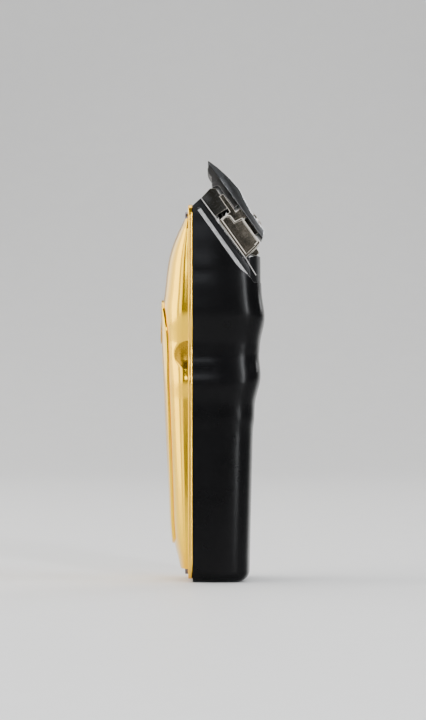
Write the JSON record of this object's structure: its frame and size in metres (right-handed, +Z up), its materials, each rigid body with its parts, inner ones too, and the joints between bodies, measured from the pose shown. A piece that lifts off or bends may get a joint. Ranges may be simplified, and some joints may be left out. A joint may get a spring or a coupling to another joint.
{
  "type": "hair clipper",
  "caption": "Upright cordless hair clipper: gold domed lid on a black grip body, slanted nose with a toothed steel blade set, taper lever and round power button.",
  "frame": {"origin": "centre of the flat butt end, on the plane the clipper stands on", "axes": "+Z up along the body to the blade tips, -X out of the gold lid, +X out of the black back, Y across the blades"},
  "size_m": [0.0443, 0.0511, 0.175],
  "materials": {
    "black_shell": "satin black moulding with fine vertical brushing",
    "gilt_lid": "polished gold plating",
    "gilt_rim": "polished gold plating",
    "gilt_button": "satin gold plating",
    "black_nose": "semi-gloss black",
    "olive_block": "smooth dark resin",
    "blade_steel": "ground dark steel",
    "cutter_steel": "dark coated steel",
    "cast_metal": "grainy die casting",
    "screw_steel": "machined screw steel",
    "dark_screw": "blackened screw steel",
    "spring_steel": "bright spring steel",
    "chrome_lever": "polished",
    "black_rubber": "soft matt rubber",
    "green_board": "lacquered board",
    "chip_black": "epoxy packages",
    "cell_wrap": "shrink wrap",
    "nickel": "nickel strip",
    "grey_plastic": "fibre-filled nylon",
    "copper_wire": "enamelled winding",
    "laminate": "stacked laminations",
    "magnet": "nickel-plated magnets",
    "bronze": "oiled bronze",
    "brass_contact": "plated contact",
    "wire_red": "PVC insulation",
    "lens_clear": "clear light guide"
  },
  "bodies": {
    "housing": {"rear_shell": "black_shell", "front_lid": "gilt_lid", "lid_rim": "gilt_rim", "lid_panel": "gilt_lid", "lid_screws": "dark_screw", "indicator_lens": "lens_clear", "indicator_led": "brass_contact", "power_switch": "chip_black", "circuit_board": "green_board", "board_components": "chip_black", "board_screws": "screw_steel", "nose_plate": "black_nose", "blade_base": "olive_block", "head_screws": "screw_steel", "hair_guard": "black_rubber", "lever_washer": "black_rubber", "motor_frame": "grey_plastic", "motor_core": "laminate", "motor_bobbin": "grey_plastic", "motor_coil": "copper_wire", "motor_pads": "black_rubber", "motor_screws": "screw_steel", "guide_rods": "spring_steel", "return_springs": "spring_steel", "battery_cell": "cell_wrap", "battery_tabs": "nickel", "inner_chassis": "grey_plastic", "charge_socket": "black_nose", "charge_sleeve": "brass_contact", "charge_contact": "brass_contact", "charge_leads": "wire_red", "motor_leads": "wire_red"},
    "motor_mover": {"mover_yoke": "laminate", "mover_magnets": "magnet", "mover_bushes": "bronze", "drive_arm": "screw_steel", "drive_tip": "bronze"},
    "cutter": {"cutter_blade": "cutter_steel", "cutter_follower": "grey_plastic"},
    "blade_carriage": {"blade_carrier": "cast_metal", "fixed_blade": "blade_steel", "blade_screws": "screw_steel", "tension_springs": "spring_steel", "spring_screws": "screw_steel"},
    "taper_lever": {"taper_lever": "chrome_lever", "lever_cam": "screw_steel", "lever_screw": "screw_steel"},
    "power_button": {"power_button": "gilt_button", "switch_plunger": "chip_black"}
  },
  "joints": [
    {"name": "motor_stroke", "type": "slide", "parent": "housing", "child": "motor_mover", "axis": [0, 1, 0], "range_m": [-0.0013, 0.0013], "stiffness_N_per_m": 2000, "deforming": ["return_springs"]},
    {"name": "cutter_stroke", "type": "slide", "parent": "housing", "child": "cutter", "axis": [0, 1, 0], "range_m": [-0.0013, 0.0013]},
    {"name": "taper_turn", "type": "hinge", "parent": "housing", "child": "taper_lever", "pos_m": [0.00841, 0.021, 0.14512], "axis": [0, 1, 0], "range_deg": [0, 40]},
    {"name": "taper_slide", "type": "slide", "parent": "housing", "child": "blade_carriage", "axis": [-0.5807, 0, 0.8141], "range_m": [0, 0.00137]},
    {"name": "button_press", "type": "slide", "parent": "housing", "child": "power_button", "axis": [1, 0, 0], "range_m": [0, 0.0005], "stiffness_N_per_m": 2500}
  ],
  "couplings": [
    {"joint": "cutter_stroke", "follows": "motor_stroke", "ratio": 1},
    {"joint": "taper_turn", "follows": "taper_slide", "rad_per_m": 510.3}
  ]
}
